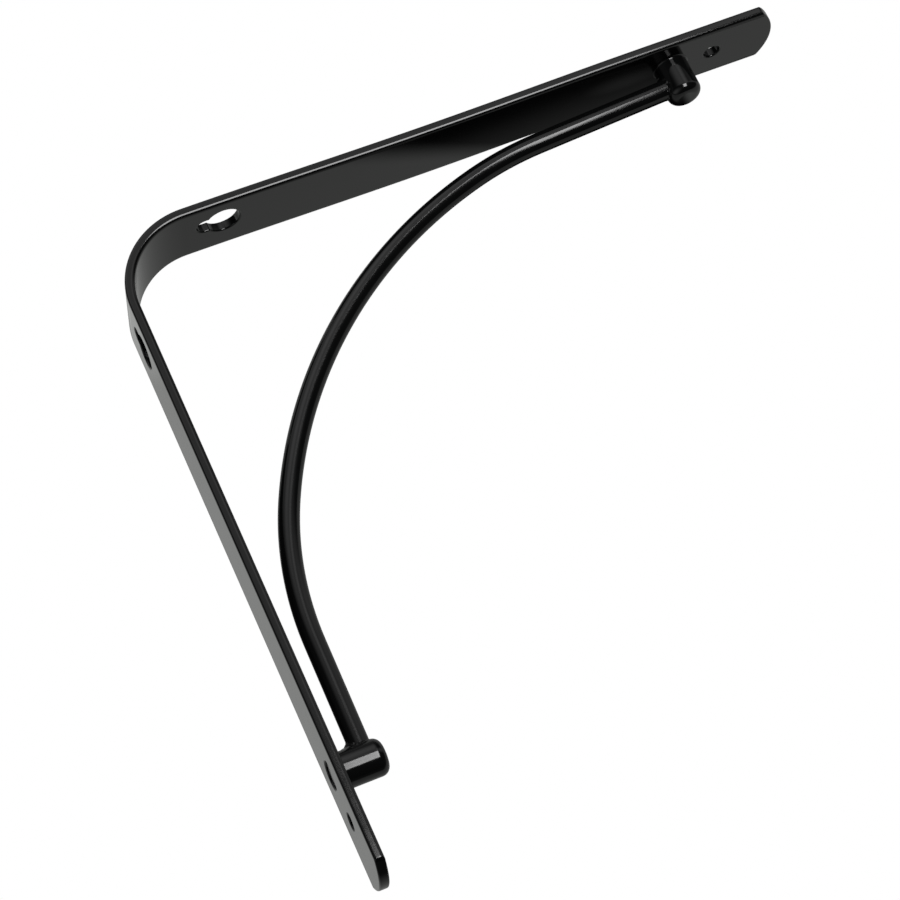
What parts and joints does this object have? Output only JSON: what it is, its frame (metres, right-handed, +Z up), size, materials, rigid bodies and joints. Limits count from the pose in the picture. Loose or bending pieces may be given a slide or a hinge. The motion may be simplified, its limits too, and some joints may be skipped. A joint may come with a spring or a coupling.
{
  "type": "shelf bracket",
  "caption": "Shelf bracket of bent flat steel bar, braced by a curved round rod welded to short posts, with keyhole slots and screw holes for fixing.",
  "frame": {"origin": "middle of the wall arm's back face, at half the bracket's height and half its width, where it lies against the wall", "axes": "+X out from the wall along the shelf arm, +Y across the bar, +Z up to the face that the shelf rests on"},
  "size_m": [0.2403, 0.0258, 0.232],
  "materials": {
    "strap_coat": "semi-gloss black powder coat, faint orange peel",
    "post_coat": "semi-gloss black powder coat on a turned post",
    "rod_coat": "semi-gloss black powder coat on drawn round rod"
  },
  "bodies": {
    "root": {"strap": "strap_coat", "shelf_post": "post_coat", "wall_post": "post_coat", "brace_rod": "rod_coat"}
  },
  "joints": []
}
